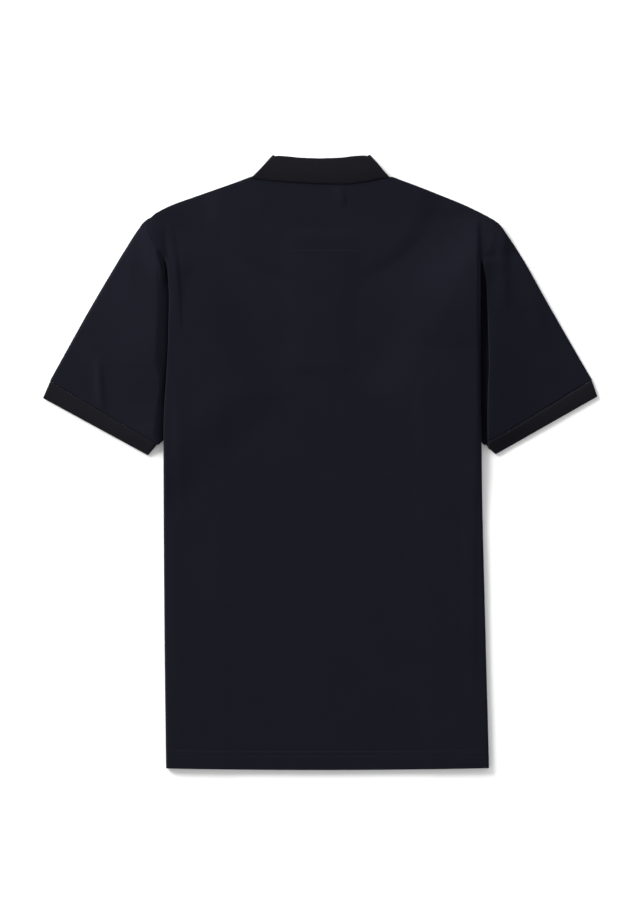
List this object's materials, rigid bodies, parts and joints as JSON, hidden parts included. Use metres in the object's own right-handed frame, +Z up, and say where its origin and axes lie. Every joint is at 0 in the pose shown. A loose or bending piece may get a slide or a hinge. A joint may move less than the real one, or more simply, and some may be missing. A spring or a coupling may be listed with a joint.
{
  "type": "polo shirt",
  "caption": "Short-sleeved pique polo shirt with a rib collar and rib cuffs, laid flat face down on a surface with each side of its body folded under.",
  "frame": {"origin": "the middle of the shirt's outline box, on the surface that it lies on", "axes": "+Y towards the collar, +Z up from the surface through the shirt's back, +X towards the wearer's right"},
  "size_m": [0.6765, 0.7504, 0.0095],
  "materials": {
    "pique": "matt near-black navy pique knit",
    "rib": "matt near-black navy rib knit",
    "button": "satin dark resin"
  },
  "bodies": {
    "root": {"back": "pique", "front": "pique", "sleeve_left": "pique", "sleeve_right": "pique", "placket_over": "pique", "placket_under": "pique", "cuff_left": "rib", "cuff_right": "rib", "collar": "rib", "button_1": "button", "button_2": "button", "button_3": "button"}
  },
  "joints": []
}
